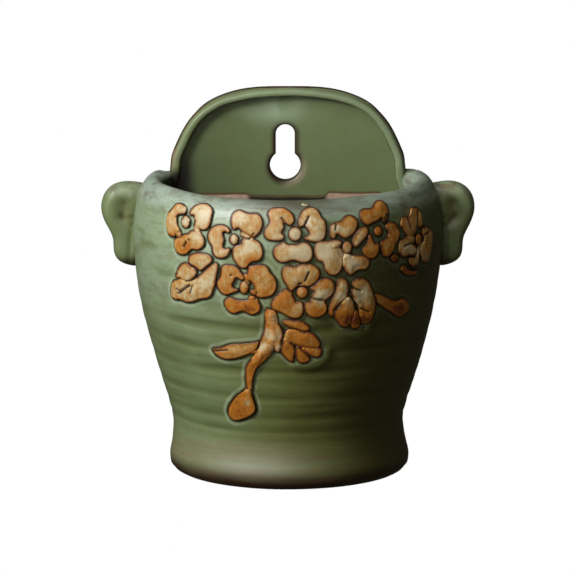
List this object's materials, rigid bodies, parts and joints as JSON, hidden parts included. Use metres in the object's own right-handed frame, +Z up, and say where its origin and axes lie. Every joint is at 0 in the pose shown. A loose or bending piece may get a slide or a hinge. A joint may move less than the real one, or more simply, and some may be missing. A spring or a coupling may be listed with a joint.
{
  "type": "wall vase",
  "caption": "Hanging wall vase: half round thrown pot on a flat back that rises as an arch with a keyhole, two curled ears at the rim, applied blossoms and a stem on the front.",
  "frame": {"origin": "centre of the keyhole's round entry, on the wall plane", "axes": "+Y into the wall that the vase hangs on, +Z up, +X to the right as seen from the front"},
  "size_m": [0.1708, 0.0944, 0.1741],
  "materials": {
    "celadon_glaze": "soft grey green glaze, satin, pooling darker in hollows",
    "bare_clay": "unglazed pinkish clay inside the pot",
    "petal_glaze": "thin glaze over cream and orange brown clay",
    "eye_glaze": "pale glaze on small pellets",
    "stem_glaze": "thin glaze over orange brown clay"
  },
  "bodies": {
    "root": {"pot_wall": "celadon_glaze", "floor_slab": "bare_clay", "back_slab": "celadon_glaze", "arch_lip": "celadon_glaze", "left_ear": "celadon_glaze", "right_ear": "celadon_glaze", "berry": "eye_glaze", "blossom_1": "petal_glaze", "blossom_1_eye": "eye_glaze", "blossom_2": "petal_glaze", "blossom_2_eye": "eye_glaze", "blossom_3": "petal_glaze", "blossom_3_eye": "eye_glaze", "blossom_4": "petal_glaze", "blossom_4_eye": "eye_glaze", "blossom_5": "petal_glaze", "blossom_5_eye": "eye_glaze", "blossom_6": "petal_glaze", "blossom_6_eye": "eye_glaze", "blossom_7": "petal_glaze", "blossom_7_eye": "eye_glaze", "blossom_8": "petal_glaze", "blossom_8_eye": "eye_glaze", "hanging_bud": "petal_glaze", "leaf": "petal_glaze", "lower_bloom": "petal_glaze", "lower_bloom_cup": "celadon_glaze", "rim_bead": "eye_glaze", "sepal": "petal_glaze", "side_bloom": "petal_glaze", "side_bloom_cup": "celadon_glaze", "side_twig": "petal_glaze", "stem": "stem_glaze", "stem_blade": "petal_glaze", "stem_leaf": "petal_glaze"}
  },
  "joints": []
}
